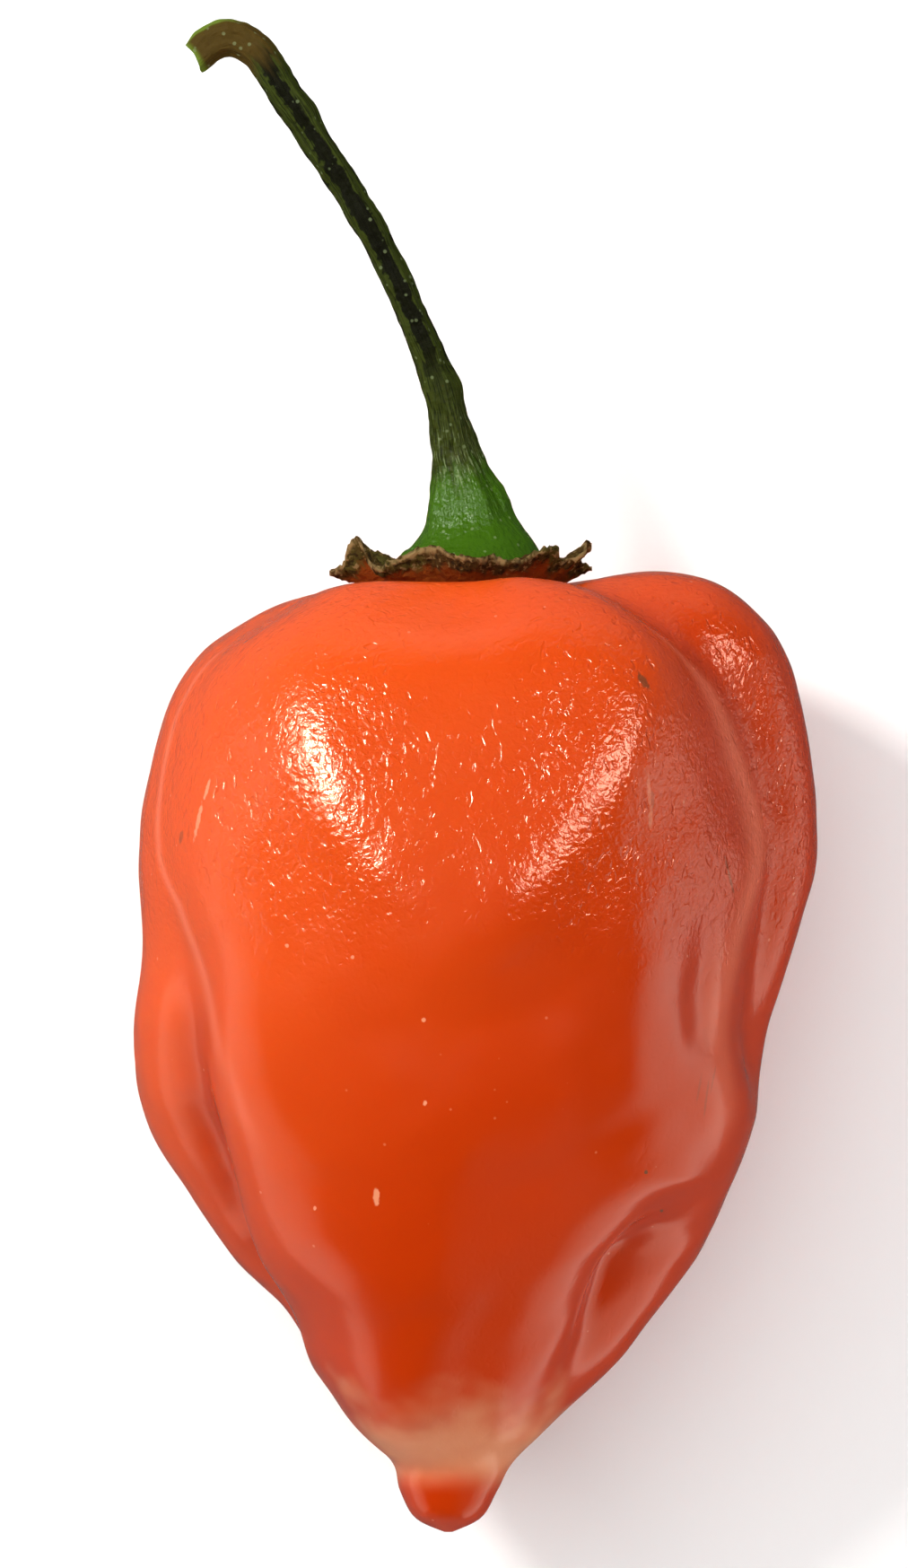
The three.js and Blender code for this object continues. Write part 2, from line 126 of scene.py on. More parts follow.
# The folds that the solid fruit has.
MAIN_FOLDS = (
    Fold("left crease", FoldForm.SHARP, (
        (1.5, 152, 0.0, 3.0, 3.0), (4, 156, 0.5, 2.6, 2.6), (6, 158, 0.7, 2.8, 2.4),
        (7.3, 153, 0.9, 3.4, 2.8), (8.5, 149, 1.4, 4.0, 3.2), (9.5, 152, 2.1, 4.2, 3.6),
        (10.5, 156, 2.6, 4.0, 3.8), (11.5, 162, 2.5, 3.6, 3.4), (12.6, 170, 1.6, 2.8, 2.4),
        (13.3, 176, 0.9, 2.3, 2.1), (14, 182, 0.0, 2.0, 2.0),
    )),
    Fold("right valley", FoldForm.ROUND, (
        (1, 44, 0.0, 2.4, 3.0), (2, 40, 1.1, 2.4, 3.4), (3, 36, 1.9, 2.8, 4.0),
        (4.2, 29, 2.3, 3.0, 5.0), (5.4, 22, 2.4, 3.0, 6.5), (6.6, 17, 2.3, 3.0, 7.5),
        (8, 14, 1.9, 2.8, 8.0), (9, 12, 1.2, 2.8, 7.0), (10, 8, 0.0, 2.6, 5.0),
    )),
    Fold("right flank", FoldForm.ROUND, (
        (3.6, 42, 0.0, 4.6, 4.6), (5, 42, 0.5, 4.8, 4.8), (6.6, 41, 0.9, 5.0, 5.0),
        (8.4, 40, 1.0, 5.0, 5.0), (9.8, 38, 0.5, 4.6, 4.6), (10.8, 36, 0.0, 4.2, 4.2),
    )),
    Fold("right hollow", FoldForm.ROUND, (
        (10.8, 32, 0.0, 3.4, 3.4), (11.2, 32, 0.9, 3.5, 3.7), (11.7, 31, 2.1, 3.6, 4.0),
        (12.3, 30, 2.6, 3.6, 4.2), (13.0, 30, 2.2, 3.4, 3.9), (13.8, 30, 1.4, 3.0, 3.3),
        (14.6, 30, 0.5, 2.6, 2.7), (15.4, 30, 0.0, 2.2, 2.2),
    )),
    Fold("front dip", FoldForm.ROUND, (
        (1.2, 95, 0.0, 2.6, 2.6), (2.4, 94, 0.6, 3.2, 3.2), (3.4, 93, 0.6, 4.2, 4.2),
        (4.8, 91, 0.35, 4.6, 4.6), (6.0, 89, 0.1, 4.0, 4.0), (7, 88, 0.0, 3.4, 3.4),
    )),
    Fold("front right swell", FoldForm.ROUND, (
        (1, 60, 0.0, 4.0, 4.0), (3, 57, -0.6, 3.8, 3.8), (5, 57, -0.8, 3.6, 3.6),
        (6.4, 69, -0.8, 3.4, 3.4), (7.6, 82, -0.6, 3.4, 3.4), (8.8, 90, 0.0, 3.4, 3.4),
    )),
    Fold("front left swell", FoldForm.ROUND, (
        (1, 124, 0.0, 4.0, 4.0), (3, 124, -0.5, 3.8, 3.8), (5, 121, -0.7, 3.6, 3.6),
        (6.4, 110, -0.7, 3.4, 3.4), (7.6, 98, -0.4, 3.4, 3.4), (8.8, 92, 0.0, 3.4, 3.4),
    )),
    Fold("front keel", FoldForm.ROUND, (
        (5.6, 90, 0.0, 4.6, 4.6), (7, 90, -0.4, 4.8, 4.8), (8.6, 91, -0.45, 5.0, 5.0),
        (10.5, 97, -0.5, 4.8, 5.2), (12.5, 103, -0.8, 4.0, 4.4), (14.5, 113, -0.9, 3.0, 3.4),
        (15.6, 120, -0.4, 2.2, 2.6), (16.4, 124, 0.0, 2.0, 2.0),
    )),
    Fold("table valley", FoldForm.ROUND, (
        (0.8, 272, 0.0, 2.6, 2.6), (2, 271, 1.2, 3.2, 3.2), (5, 270, 2.3, 4.2, 4.2),
        (8, 270, 2.5, 4.2, 4.2), (11, 272, 1.6, 3.6, 3.6), (13.5, 275, 0.0, 3.0, 3.0),
    )),
    Fold("left foot", FoldForm.ROUND, (
        (2, 246, 0.0, 4.6, 4.6), (5, 246, -0.55, 5.0, 5.0), (8, 246, -0.6, 5.0, 5.0),
        (11, 246, -0.3, 4.6, 4.6), (13, 246, 0.0, 4.0, 4.0),
    )),
    Fold("right foot", FoldForm.ROUND, (
        (3, 296, 0.0, 4.0, 4.0), (5, 296, -0.2, 4.4, 4.4), (9, 297, -0.3, 4.4, 4.4),
        (12, 298, 0.0, 4.0, 4.0),
    )),
    Fold("left lobe dent", FoldForm.ROUND, (
        (7.6, 196, 0.0, 3.4, 3.4), (9, 204, 0.7, 3.6, 3.6), (10.6, 214, 1.0, 3.4, 3.4),
        (12.2, 222, 0.0, 3.0, 3.0),
    )),
    Fold("right lobe dent", FoldForm.ROUND, (
        (4.4, 338, 0.0, 3.2, 3.2), (6, 334, 0.6, 3.4, 3.4), (8, 336, 0.9, 3.6, 3.6),
        (10, 340, 0.0, 3.2, 3.2),
    )),
)

# Smaller wrinkles and dents that only the fine skin has.
FINE_FOLDS = (
    Fold("left crease floor", FoldForm.ROUND, (
        (2.4, 153, 0.0, 1.5, 1.5), (4, 156, -0.25, 1.6, 1.6), (6, 158, -0.4, 1.7, 1.7),
        (7.3, 153, -0.4, 1.8, 1.8), (8.3, 149, -0.25, 1.6, 1.6), (9.4, 151, 0.0, 1.4, 1.4),
    )),
    Fold("hollow floor", FoldForm.ROUND, (
        (11.4, 36, 0.0, 1.7, 1.5), (11.9, 36, 0.5, 1.8, 1.5), (12.6, 36, 0.7, 1.9, 1.5),
        (13.4, 35, 0.4, 1.8, 1.4), (14.3, 34, 0.0, 1.6, 1.2),
    )),
    Fold("hollow wrinkle", FoldForm.ROUND, (
        (11.7, 27, 0.0, 0.7, 0.8), (12.1, 28, 0.12, 0.8, 1.0), (12.8, 29, 0.12, 0.8, 1.0),
        (13.6, 30, 0.0, 0.7, 0.8),
    )),
    Fold("flank dimple", FoldForm.ROUND, (
        (7.2, 40, 0.0, 1.4, 1.4), (7.8, 38, 0.2, 1.6, 1.8), (8.6, 36, 0.25, 1.4, 1.8),
        (9.4, 34, 0.0, 1.4, 1.4),
    )),
    Fold("right lobe pit", FoldForm.ROUND, (
        (5.4, 14, 0.0, 1.2, 1.2), (6.0, 13, 0.25, 1.3, 1.4), (6.6, 12, 0.0, 1.2, 1.2),
    )),
    Fold("right lobe lower pit", FoldForm.ROUND, (
        (6.8, 12, 0.0, 1.4, 1.2), (7.5, 11, 0.3, 1.6, 1.5), (8.2, 10, 0.0, 1.2, 1.2),
    )),
)

# Painted highlight lines along the left crease's ridge and in the right valley; their depth is how strong
# they are.
PAINTED_HIGHLIGHT_LINES = (
    Fold("left crest", FoldForm.ROUND, (
        (3.2, 155, 0.0, 0.3, 0.3), (4.3, 160, 0.7, 0.3, 0.3), (5.6, 162, 1.0, 0.35, 0.35),
        (6.85, 158, 1.0, 0.35, 0.4), (7.45, 150, 1.0, 0.4, 0.5), (8.75, 141, 0.7, 0.5, 0.8),
        (9.95, 135, 0.3, 0.6, 1.0), (10.6, 132, 0.0, 0.6, 1.0),
    )),
    Fold("right crest", FoldForm.ROUND, (
        (3.0, 46, 0.0, 0.5, 0.6), (3.5, 43, 0.6, 0.5, 0.8), (4.5, 33, 0.9, 0.8, 1.3),
        (5.5, 27, 1.0, 1.2, 1.8), (6.5, 20, 1.0, 1.3, 2.2), (7.75, 24, 0.9, 1.3, 2.0),
        (8.8, 28, 0.7, 1.4, 1.6), (9.9, 27, 0.5, 1.4, 1.4), (10.6, 27, 0.0, 1.4, 1.4),
    )),
)

# The stalk's middle line, (x, y, height over the fruit's axis, half width), from the calyx to the torn end.
STALK_LINE: tuple[Row, ...] = (
    (-0.33, 11.7, 0.0, 3.85), (-0.33, 12.5, 0.0, 3.35), (-0.45, 13.6, 0.08, 2.55),
    (-0.64, 14.8, 0.2, 2.12), (-0.93, 16.2, 0.35, 1.6), (-1.26, 17.4, 0.5, 1.26),
    (-1.56, 19.0, 0.75, 1.06), (-1.95, 20.8, 0.95, 0.97), (-2.55, 22.6, 1.15, 0.87),
    (-3.65, 25.0, 1.5, 0.8), (-4.95, 27.9, 1.8, 0.79), (-6.55, 30.8, 2.0, 0.78),
    (-8.35, 33.7, 2.1, 0.8), (-10.1, 36.4, 2.1, 0.88), (-11.05, 37.9, 2.05, 0.9),
    (-11.9, 39.0, 1.95, 0.9), (-12.85, 39.68, 1.8, 0.93), (-13.75, 39.74, 1.62, 0.95),
    (-14.47, 39.42, 1.47, 0.95), (-15.07, 38.9, 1.3, 0.85),
)

# The points of the calyx: (bearing, reach past the rim, curl, half width in degrees).
CALYX_POINTS: tuple[Row, ...] = (
    (-9, 0.9, -0.1, 7), (14, 0.7, 1.05, 9), (41, 0.1, 1.15, 12), (76, 0.0, 0.4, 10),
    (106, 0.1, 0.7, 20), (160, -0.1, 1.45, 6), (184, 1.15, -0.15, 7), (222, 0.4, 0.75, 15),
    (258, 0.7, 0.3, 10), (288, 0.9, 0.9, 12), (326, 0.3, 0.4, 12),
)


def catmull_rom(before: np.ndarray, start: np.ndarray, end: np.ndarray, after: np.ndarray,
                share: float) -> np.ndarray:
    """Gives the smooth value a share of the way from start to end.

    Args:
        before: The row before start.
        start: The row at share 0.
        end: The row at share 1.
        after: The row after end.
        share: How far between start and end, from 0 to 1.

    Returns:
        The values there.
    """
    square = share * share
    cube = square * share
    return (
        (2 * cube - 3 * square + 1) * start + (cube - 2 * square + share) * (end - before) / 2
        + (3 * square - 2 * cube) * end + (cube - square) * (after - start) / 2
    )


def row_at(rows: tuple[Row, ...] | list[Row], place: float, places: list[float] | None = None) -> np.ndarray:
    """Reads a list of rows at a place between them.

    Args:
        rows: The rows, each with the same number of values.
        place: Where to read.
        places: The place of each row, or None where row 0 is at 0, row 1 at 1 and so on.

    Returns:
        The smooth values at that place.
    """
    known = places or list(range(len(rows)))
    last = len(rows) - 1
    i = 0
    while i < last - 1 and place > known[i + 1]:
        i += 1
    share = min(max((place - known[i]) / (known[i + 1] - known[i]), 0.0), 1.0)
    near = [np.array(rows[k], dtype=float) for k in (max(i - 1, 0), i, i + 1, min(i + 2, last))]
    return catmull_rom(*near, share)


def smooth_step(value: np.ndarray | float, low: float, high: float) -> np.ndarray | float:
    """Rises smoothly from 0 at low to 1 at high."""
    share = np.clip((value - low) / (high - low), 0.0, 1.0)
    return share * share * (3 - 2 * share)


@dataclass(frozen=True)
class Ripple:
    """An even, seeded unevenness in space, made of waves in random directions."""

    wavelength: float
    height: float
    seed: int
    waves: int = 28

    def at(self, points: np.ndarray) -> np.ndarray:
        """Gives the height of the ripple at each point.

        Args:
            points: Positions in millimetres, one a row.

        Returns:
            One height in millimetres for each point.
        """
        draw = np.random.default_rng(self.seed)
        total = np.zeros(len(points))
        for _ in range(self.waves):
            direction = draw.normal(size=3)
            direction /= np.linalg.norm(direction)
            length = self.wavelength * draw.uniform(0.7, 1.5)
            total += np.cos(points @ direction * (2 * math.pi / length) + draw.uniform(0, 2 * math.pi))
        return self.height * total / math.sqrt(self.waves / 2)


class Nodes:
    """Builds the nodes of one material."""

    def __init__(self, name: str) -> None:
        """Starts an empty material of that name."""
        self.material = bpy.data.materials.new(name)
        self.material.use_nodes = True
        self.tree = self.material.node_tree
        self.tree.nodes.clear()
        self.coordinates = self.add("ShaderNodeTexCoord").outputs["Object"]

    def add(self, kind: str, inputs: dict | None = None, **settings: object) -> bpy.types.Node:
        """Adds a node.

        Args:
            kind: The node's type.
            inputs: A value or a socket to link for each named or numbered input.
            **settings: The node's own properties.

        Returns:
            The new node.
        """
        node = self.tree.nodes.new(kind)
        for key, value in settings.items():
            setattr(node, key, value)
        for key, value in (inputs or {}).items():
            if isinstance(value, bpy.types.NodeSocket):
                self.tree.links.new(value, node.inputs[key])
            else:
                node.inputs[key].default_value = value
        return node

    def math(self, operation: str, *values: Number) -> Socket:
        """Adds a sum of numbers or sockets and gives its result."""
        return self.add("ShaderNodeMath", dict(enumerate(values)), operation=operation).outputs[0]

    def times(self, first: Number, second: Number) -> Socket:
        """Multiplies two numbers or sockets."""
        return self.math("MULTIPLY", first, second)

    def plus(self, first: Number, second: Number) -> Socket:
        """Adds up two numbers or sockets."""
        return self.math("ADD", first, second)

    def swing(self, height: Number, width: float) -> Socket:
        """Turns a height from 0 to 1 into one that swings round 0, over that width."""
        return self.times(self.math("SUBTRACT", height, 0.5), width)

    def scaled(self, scale: Row) -> Socket:
        """Gives the place on the piece, stretched by a scale for each axis."""
        inputs = {0: self.coordinates, 1: scale}
        return self.add("ShaderNodeVectorMath", inputs, operation="MULTIPLY").outputs[0]

    def flecks(self, scale: float, far: float, near: float) -> Socket:
        """Gives small round dots: 0 beyond far from their middles, rising to 1 within near."""
        inputs = {"Vector": self.coordinates, "Scale": scale, "Randomness": 1.0}
        cells = self.add("ShaderNodeTexVoronoi", inputs)
        return self.between(cells.outputs["Distance"], far, near)

    def noise(self, scale: float, detail: float = 2.0, vector: Socket | None = None, **more: float) -> Socket:
        """Adds a noise with that many cells to a metre and gives its height from 0 to 1."""
        inputs = {"Vector": vector or self.coordinates, "Scale": scale, "Detail": detail, **more}
        return self.add("ShaderNodeTexNoise", inputs).outputs["Fac"]

    def mix(self, factor: Number, first: Colour | Socket, second: Colour | Socket) -> Socket:
        """Mixes two colours and gives the result."""
        inputs = {0: factor, 6: as_rgba(first), 7: as_rgba(second)}
        return self.add("ShaderNodeMix", inputs, data_type="RGBA").outputs[2]

    def between(self, value: Number, low: float, high: float) -> Socket:
        """Rises smoothly from 0 where value is low to 1 where it is high; low may be the larger."""
        inputs = {"Value": value, "From Min": low, "From Max": high}
        return self.add("ShaderNodeMapRange", inputs, interpolation_type="SMOOTHSTEP").outputs[0]

    def attribute(self, name: str) -> bpy.types.Node:
        """Reads a value that the mesh holds at each of its points."""
        return self.add("ShaderNodeAttribute", attribute_name=name)

    def finish(self, **inputs: object) -> bpy.types.Material:
        """Adds the surface, joins it up and gives the material.

        Args:
            **inputs: The surface's inputs, with _ for a space in a name.

        Returns:
            The finished material.
        """
        named = {key.replace("_", " "): value for key, value in inputs.items()}
        surface = self.add("ShaderNodeBsdfPrincipled", named)
        self.add("ShaderNodeOutputMaterial", {"Surface": surface.outputs[0]})
        return self.material


def as_rgba(colour: Colour | Socket) -> Row | Socket:
    """Gives a colour its alpha, and leaves a socket as it is."""
    return (*colour, 1.0) if isinstance(colour, tuple) else colour


@dataclass(frozen=True)
class Mark:
    """A blemish on the upper side of the skin, seen from above: an oval of one colour."""

    x: float
    y: float
    half_width: float
    half_length: float
    turn: float = 0.0
    strength: float = 1.0


@dataclass(frozen=True)
class SkinFinish:
    """The waxy orange skin."""

    name: str = "waxy orange skin"
    # light and deep are painted light and shade: the side towards the lamp and the far side; deep is also the
    # very tip's colour.
    light: Colour = (0.68, 0.074, 0.008)
    deep: Colour = (0.47, 0.031, 0.0008)
    tip: Colour = (0.82, 0.38, 0.19)
    # Painted shade for the floors of the folds.
    painted_fold_shade: Colour = (0.42, 0.028, 0.002)
    pale: Colour = (0.90, 0.42, 0.22)
    # The colour of the painted highlight lines.
    painted_highlight_colour: Colour = (0.88, 0.23, 0.125)
    brown: Colour = (0.16, 0.045, 0.015)
    gloss: Colour = (1.0, 0.84, 0.62)
    # Painted light and shade, lighter towards the lamp: its direction, and where along it the colour turns,
    # in mm.
    painted_light_side: Row = (-1.0, 0.75, 0.0)
    painted_light_reach: tuple[float, float] = (-20.0, 16.0)
    # Shares of the fruit's length: where the pale band over the tip starts and ends (partly paler skin,
    # partly a painted reflection of the table on the step at the tip's base), where the pebbles fade and
    # where the skin turns waxier.
    band_start: tuple[float, float] = (0.82, 0.93)
    band_end: tuple[float, float] = (0.915, 0.96)
    pebbles_fade: tuple[float, float] = (0.46, 0.27)
    waxy_start: tuple[float, float] = (0.26, 0.44)
    # The front has fewer pebbles: where it is across the fruit, and how far off it they are back, in metres.
    front_x: float = -0.001
    front_reach: tuple[float, float] = (0.001, 0.006)
    # Marks are drawn only on the upper side, above these heights in metres.
    mark_heights: tuple[float, float] = (0.016, 0.018)
    pebble_depth: float = 0.000065
    pale_marks: tuple[Mark, ...] = (
        Mark(-14.4, -0.7, 0.07, 0.45, -16, 0.45), Mark(-14.85, -2.3, 0.08, 0.8, -12, 0.45),
        Mark(-5.37, -22.2, 0.14, 0.36, -6, 0.6), Mark(-2.85, -12.8, 0.10, 0.10, 0, 0.6),
        Mark(-2.8, -17.2, 0.09, 0.12, 0, 0.6), Mark(-8.66, -22.9, 0.07, 0.1, 0, 0.6),
        Mark(-6.6, -9.5, 0.08, 0.08, 0, 0.5), Mark(-10.1, -8.9, 0.08, 0.08, 0, 0.5),
        Mark(9.05, -0.7, 0.08, 0.7, 3, 0.2), Mark(9.15, -2.1, 0.09, 0.5, -4, 0.22),
    )
    brown_marks: tuple[Mark, ...] = (
        Mark(8.75, 5.1, 0.16, 0.42, 28, 0.85),
        Mark(13.4, -5.2, 0.05, 0.8, 14, 0.6), Mark(-15.8, -3.2, 0.08, 0.3, -10, 0.5),
        Mark(8.95, -21.0, 0.08, 0.08), Mark(9.85, -23.2, 0.07, 0.07), Mark(9.25, -1.2, 0.07, 0.35, 0, 0.35),
        Mark(11.8, -16.6, 0.05, 0.6, -10, 0.3), Mark(12.2, -17.1, 0.05, 0.8, -8, 0.35),
        Mark(12.55, -16.2, 0.04, 0.6, -12, 0.3),
    )

    def mask(self, nodes: Nodes, marks: tuple[Mark, ...], wobble: Socket) -> Socket:
        """Gives a mask that is 1 inside the marks.

        Args:
            nodes: The material's nodes.
            marks: The ovals to draw.
            wobble: A noise that makes their edges uneven.

        Returns:
            The mask.
        """
        total: Number = 0.0
        for mark in marks:
            middle = (mark.x * MM, mark.y * MM, 0.0)
            scale = (1 / (mark.half_width * MM), 1 / (mark.half_length * MM), 0.0)
            inputs = {0: nodes.coordinates, 1: middle}
            moved = nodes.add("ShaderNodeVectorMath", inputs, operation="SUBTRACT").outputs[0]
            inputs = {"Vector": moved, "Angle": math.radians(-mark.turn)}
            turned = nodes.add("ShaderNodeVectorRotate", inputs, rotation_type="Z_AXIS").outputs[0]
            oval = nodes.add("ShaderNodeVectorMath", {0: turned, 1: scale}, operation="MULTIPLY").outputs[0]
            distance = nodes.add("ShaderNodeVectorMath", {0: oval}, operation="LENGTH").outputs["Value"]
            inside = nodes.times(nodes.between(nodes.plus(distance, wobble), 1.5, 0.9), mark.strength)
            total = nodes.math("MAXIMUM", total, inside)
        height = nodes.add("ShaderNodeSeparateXYZ", {0: nodes.coordinates}).outputs["Z"]
        return nodes.times(total, nodes.between(height, *self.mark_heights))

    def build(self) -> bpy.types.Material:
        """Gives the finished material."""
        nodes = Nodes(self.name)
        along = nodes.attribute("along").outputs["Fac"]
        pressed = nodes.attribute("pressed").outputs["Fac"]
        clouds = nodes.noise(90, 3)
        # Painted light and shade: lighter towards the lamp up and to the left, deeper on the far side.
        towards = tuple(part / MM for part in self.painted_light_side)
        painted_light = nodes.add("ShaderNodeVectorMath", {0: nodes.coordinates, 1: towards},
                          operation="DOT_PRODUCT").outputs["Value"]
        painted_light = nodes.plus(painted_light, nodes.swing(clouds, 16))
        colour = nodes.mix(nodes.between(painted_light, *self.painted_light_reach), self.deep, self.light)
        uneven = nodes.plus(along, nodes.swing(clouds, 0.06))
        banded = nodes.plus(uneven, nodes.swing(nodes.noise(260, 2), 0.16))
        # Pale band round the tip's base: paler skin with a painted reflection of the table.
        colour = nodes.mix(nodes.times(nodes.between(banded, *self.band_start), 0.6), colour, self.tip)
        colour = nodes.mix(nodes.between(uneven, *self.band_end), colour, self.deep)
        # Painted shade: darker where the folds press the skin in.
        colour = nodes.mix(nodes.times(nodes.between(pressed, 0.3, 2.6), 0.8), colour, self.painted_fold_shade)
        # Painted highlight: pale pink lines of painted reflection along the left crease and the right valley.
        painted_highlight = nodes.attribute("painted_highlight").outputs["Fac"]
        colour = nodes.mix(nodes.times(painted_highlight, 0.42), colour, self.painted_highlight_colour)
        colour = nodes.mix(nodes.times(nodes.flecks(520, 0.06, 0.03), 0.22), colour, self.pale)
        wobble = nodes.swing(nodes.noise(3200, 2), 1.6)
        colour = nodes.mix(self.mask(nodes, self.pale_marks, wobble), colour, self.pale)
        colour = nodes.mix(self.mask(nodes, self.brown_marks, wobble), colour, self.brown)
        across = nodes.add("ShaderNodeSeparateXYZ", {0: nodes.coordinates}).outputs["X"]
        aside = nodes.math("ABSOLUTE", nodes.plus(across, -self.front_x))
        pebbled = nodes.plus(nodes.times(nodes.between(aside, *self.front_reach), 0.6), 0.4)
        pebbled = nodes.times(pebbled, nodes.between(uneven, *self.pebbles_fade))
        pebbled = nodes.plus(nodes.times(pebbled, 0.9), 0.1)
        pebble = nodes.noise(3400, 2.0, Distortion=0.5)
        patches = nodes.noise(1300, 1.0, Distortion=0.6)
        long_cells = nodes.scaled((1.0, 0.65, 1.0))
        dents = nodes.between(nodes.noise(1900, 1.5, vector=long_cells, Distortion=0.6), 0.56, 0.74)
        height = nodes.plus(pebble, nodes.times(patches, 0.9))
        height = nodes.math("SUBTRACT", height, nodes.times(dents, 0.7))
        inputs = {"Strength": pebbled, "Distance": self.pebble_depth, "Height": height}
        bump = nodes.add("ShaderNodeBump", inputs)
        roughness = nodes.plus(0.12, nodes.times(nodes.noise(400, 3), 0.08))
        hollows = nodes.between(pressed, 0.5, 2.0)
        waxier = nodes.math("MAXIMUM", nodes.between(uneven, *self.waxy_start), hollows)
        roughness = nodes.plus(roughness, nodes.times(waxier, 0.05))
        return nodes.finish(
            Base_Color=colour, Roughness=roughness, Normal=bump.outputs[0], Subsurface_Weight=0.12,
            Subsurface_Radius=(1.0, 0.25, 0.08), Subsurface_Scale=0.0016, Specular_IOR_Level=0.16,
            Specular_Tint=as_rgba(self.gloss),
        )


@dataclass(frozen=True)
class CalyxFinish:
    """The dried brown calyx with pale curled edges."""

    name: str = "dried calyx"
    brown: Colour = (0.052, 0.026, 0.006)
    olive: Colour = (0.058, 0.048, 0.009)
    tan: Colour = (0.24, 0.155, 0.062)
    red: Colour = (0.19, 0.034, 0.003)
    dark: Colour = (0.014, 0.008, 0.003)
    crumb_depth: float = 0.00025

    def build(self) -> bpy.types.Material:
        """Gives the finished material."""
        nodes = Nodes(self.name)
        rim = nodes.attribute("rim").outputs["Fac"]
        under = nodes.attribute("under").outputs["Fac"]
        mottle = nodes.noise(1500, 4, Distortion=0.8)
        crumbs = nodes.noise(3400, 3)
        colour = nodes.mix(nodes.between(nodes.noise(420, 3), 0.4, 0.62), self.brown, self.olive)
        colour = nodes.mix(nodes.times(nodes.between(crumbs, 0.46, 0.36), 0.8), colour, self.dark)
        specks = nodes.times(nodes.between(crumbs, 0.56, 0.66), nodes.between(rim, 0.8, 0.93))
        colour = nodes.mix(nodes.times(specks, 0.8), colour, self.tan)
        uneven = nodes.plus(rim, nodes.swing(mottle, 0.16))
        near_foot = nodes.times(nodes.between(uneven, 0.92, 0.84), under)
        colour = nodes.mix(nodes.times(near_foot, 0.85), colour, self.red)
        edge = nodes.times(nodes.between(rim, 0.965, 1.0), nodes.between(mottle, 0.42, 0.6))
        colour = nodes.mix(nodes.times(edge, 0.9), colour, self.tan)
        height = nodes.plus(mottle, nodes.times(crumbs, 0.7))
        inputs = {"Strength": 0.9, "Distance": self.crumb_depth, "Height": height}
        bump = nodes.add("ShaderNodeBump", inputs)
        return nodes.finish(
            Base_Color=colour, Roughness=0.7, Normal=bump.outputs[0], Specular_IOR_Level=0.008,
        )


@dataclass(frozen=True)
class StalkFinish:
    """The ribbed green stalk: bright at its foot, near black along its middle, brown at the torn end."""

    name: str = "green stalk"
    bright: Colour = (0.038, 0.105, 0.003)
    olive: Colour = (0.034, 0.046, 0.006)
    dark: Colour = (0.0025, 0.0022, 0.001)
    brown: Colour = (0.065, 0.040, 0.007)
    lime: Colour = (0.120, 0.190, 0.018)
    pale: Colour = (0.260, 0.330, 0.150)
    # Shares of its length: where the bright foot and its wax end, and the dark bands and brown end start.
    foot_end: tuple[float, float] = (0.27, 0.17)
    waxy_end: tuple[float, float] = (0.3, 0.12)
    bands_start: tuple[float, float] = (0.32, 0.46)
    brown_start: tuple[float, float] = (0.72, 0.80)
    rib_depth: float = 0.00011

    def build(self) -> bpy.types.Material:
        """Gives the finished material."""
        nodes = Nodes(self.name)
        along = nodes.attribute("along").outputs["Fac"]
        lengthways = nodes.attribute("lengthways").outputs["Vector"]
        band = nodes.attribute("band").outputs["Fac"]
        edge = nodes.attribute("edge").outputs["Fac"]
        streak = nodes.noise(2.4, 4, vector=lengthways)
        grain = nodes.noise(9.0, 3, vector=lengthways)
        place = nodes.plus(along, nodes.swing(streak, 0.14))
        dark_grain = nodes.times(nodes.between(grain, 0.52, 0.36), 0.7)
        colour = nodes.mix(dark_grain, self.olive, self.dark)
        banded = nodes.plus(band, nodes.swing(streak, 3.0))
        banded = nodes.plus(banded, nodes.swing(nodes.noise(1500, 3, Distortion=0.4), 3.2))
        past_foot = nodes.between(along, *self.bands_start)
        banded = nodes.times(nodes.between(banded, -0.25, 0.3), past_foot)
        colour = nodes.mix(nodes.times(banded, 0.93), colour, self.dark)
        colour = nodes.mix(nodes.between(place, *self.brown_start), colour, self.brown)
        colour = nodes.mix(nodes.between(place, *self.foot_end), colour, self.bright)
        colour = nodes.mix(nodes.times(nodes.between(edge, 0.3, 1.0), 0.9), colour, self.lime)
        ribbed = nodes.times(nodes.between(grain, 0.56, 0.68), nodes.between(along, 0.16, 0.24))
        ribbed = nodes.times(ribbed, nodes.between(along, 0.36, 0.28))
        colour = nodes.mix(nodes.times(ribbed, 0.5), colour, self.pale)
        colour = nodes.mix(nodes.times(nodes.flecks(1500, 0.19, 0.1), 0.35), colour, self.pale)
        height = nodes.plus(grain, nodes.times(nodes.noise(3000, 2), 1.7))
        inputs = {"Strength": 0.8, "Distance": self.rib_depth, "Height": height}
        bump = nodes.add("ShaderNodeBump", inputs)
        roughness = nodes.plus(0.22, nodes.times(nodes.between(along, 0.2, 0.4), 0.3))
        waxy = nodes.times(nodes.between(place, *self.waxy_end), 0.05)
        return nodes.finish(
            Base_Color=colour, Roughness=roughness, Normal=bump.outputs[0], Specular_IOR_Level=0.006,
            Coat_Weight=waxy, Coat_Roughness=0.25, Coat_Normal=bump.outputs[0],
        )


@dataclass(frozen=True)
class FloorFinish:
    """The plain white table."""

    name: str = "white table"
    white: Colour = (0.98, 0.98, 0.98)

    def build(self) -> bpy.types.Material:
        """Gives the finished material."""
        white = as_rgba(self.white)
        return Nodes(self.name).finish(Base_Color=white, Roughness=0.6, Specular_IOR_Level=0.1)


